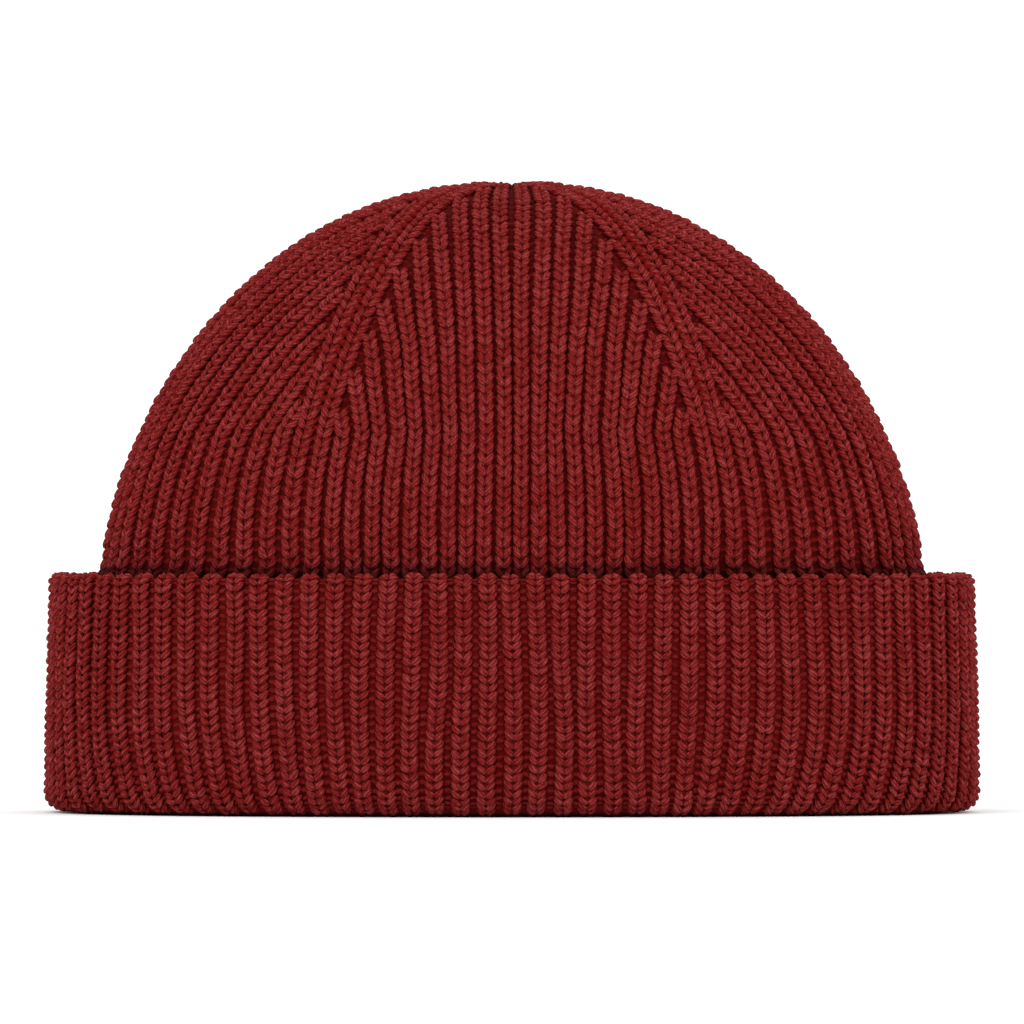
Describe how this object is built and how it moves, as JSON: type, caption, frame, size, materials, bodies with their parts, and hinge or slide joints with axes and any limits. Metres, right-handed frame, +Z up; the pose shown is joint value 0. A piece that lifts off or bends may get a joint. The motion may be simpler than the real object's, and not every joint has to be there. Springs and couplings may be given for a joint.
{
  "type": "knit beanie",
  "caption": "Rib-knit fisherman beanie with a short rounded crown, four mitred lines of decreases and a deep turned-up cuff, standing open on its cuff to be worn on a head.",
  "frame": {"origin": "middle of the footprint, on the surface that the turned-up cuff stands on", "axes": "+Z up to the top of the crown, +X to the wearer's left along the wide side, and the front faces -Y"},
  "size_m": [0.234, 0.15, 0.158],
  "materials": {
    "rib_knit": "matt brick-red yarn in a thick rib knit, with soft round stitches and dark furrows between the ribs"
  },
  "bodies": {
    "root": {"crown": "rib_knit", "cuff": "rib_knit"}
  },
  "joints": []
}
